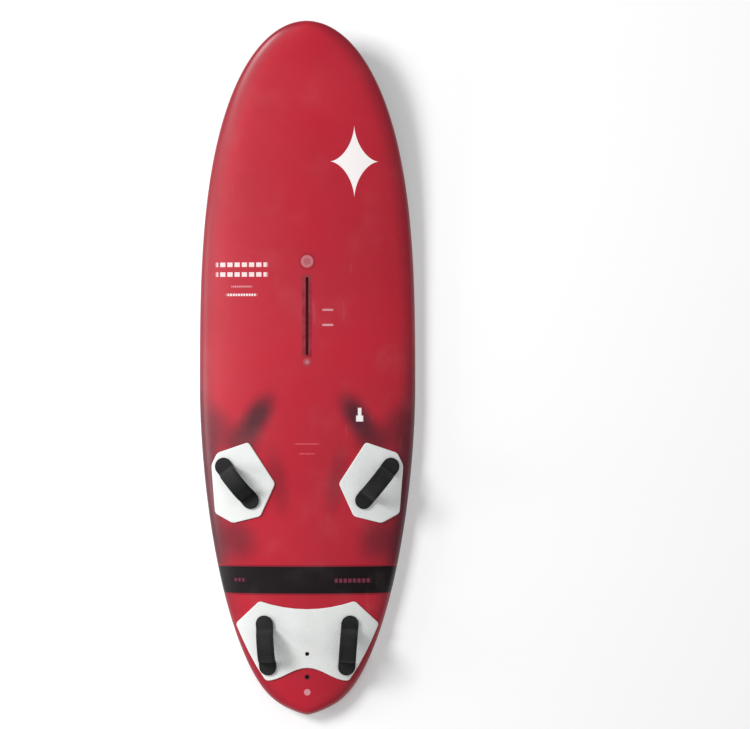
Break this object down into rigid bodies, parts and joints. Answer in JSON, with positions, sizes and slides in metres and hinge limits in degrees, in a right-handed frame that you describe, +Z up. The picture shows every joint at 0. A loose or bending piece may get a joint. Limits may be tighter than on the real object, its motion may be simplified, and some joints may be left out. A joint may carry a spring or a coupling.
{
  "type": "windsurf board",
  "caption": "Slalom windsurf board with a sandwich hull, slotted mast track, fin box, deck pads, padded footstraps and a vent.",
  "frame": {"origin": "on the flat bottom, under the middle of the board's length and width", "axes": "+Z up out of the deck, +Y towards the nose, +X to the right-hand rail seen from above"},
  "size_m": [0.735, 2.35, 0.197],
  "materials": {
    "deck_paint": "satin red paint over carbon and glass, airbrushed dark round the standing area",
    "bottom_carbon": "satin dark grey carbon weave under clear coat, white band at the rail",
    "sandwich_foam": "cut PVC foam",
    "block_foam": "dense foam",
    "eps_foam": "expanded bead foam",
    "track_plastic": "moulded, satin",
    "fin_box_plastic": "moulded, black",
    "vent_plastic": "moulded, satin",
    "vent_screw": "moulded, satin, coin slot",
    "seal_rubber": "moulded ring",
    "pad_foam": "pebbled EVA foam, nearly white",
    "plug_plastic": "moulded, black",
    "plate_plastic": "moulded, black",
    "webbing": "black woven polyester",
    "screw_steel": "stainless",
    "neoprene": "black knitted cloth over neoprene, stitched"
  },
  "bodies": {
    "board": {"deck_laminate": "deck_paint", "bottom_laminate": "bottom_carbon", "deck_sandwich": "sandwich_foam", "bottom_sandwich": "sandwich_foam", "mast_block": "block_foam", "fin_block": "block_foam", "eps_core": "eps_foam", "mast_track": "track_plastic", "fin_box": "fin_box_plastic", "fin_bolt_cups": "fin_box_plastic", "vent_insert": "vent_plastic", "rear_pad": "pad_foam", "front_left_pad": "pad_foam", "front_right_pad": "pad_foam", "front_left_plugs": "plug_plastic", "front_left_strap_plates": "plate_plastic", "front_left_strap_webbing": "webbing", "front_left_strap_screws": "screw_steel", "front_left_strap_cover": "neoprene", "front_right_plugs": "plug_plastic", "front_right_strap_plates": "plate_plastic", "front_right_strap_webbing": "webbing", "front_right_strap_screws": "screw_steel", "front_right_strap_cover": "neoprene", "rear_left_plugs": "plug_plastic", "rear_left_strap_plates": "plate_plastic", "rear_left_strap_webbing": "webbing", "rear_left_strap_screws": "screw_steel", "rear_left_strap_cover": "neoprene", "rear_right_plugs": "plug_plastic", "rear_right_strap_plates": "plate_plastic", "rear_right_strap_webbing": "webbing", "rear_right_strap_screws": "screw_steel", "rear_right_strap_cover": "neoprene"},
    "vent_ring": {"vent_o_ring": "seal_rubber"},
    "vent_screw": {"vent_screw": "vent_screw"}
  },
  "joints": [
    {"name": "vent_ring_lift", "type": "slide", "parent": "board", "child": "vent_ring", "axis": [0, 0, 1], "range_m": [0, 0.0045]},
    {"name": "vent_screw_turn", "type": "hinge", "parent": "vent_ring", "child": "vent_screw", "pos_m": [0, 0.027, 0.11242], "axis": [0, 0, 1], "range_deg": [0, 1080]}
  ],
  "couplings": [
    {"joint": "vent_screw_turn", "follows": "vent_ring_lift", "rad_per_m": 4188.8}
  ]
}
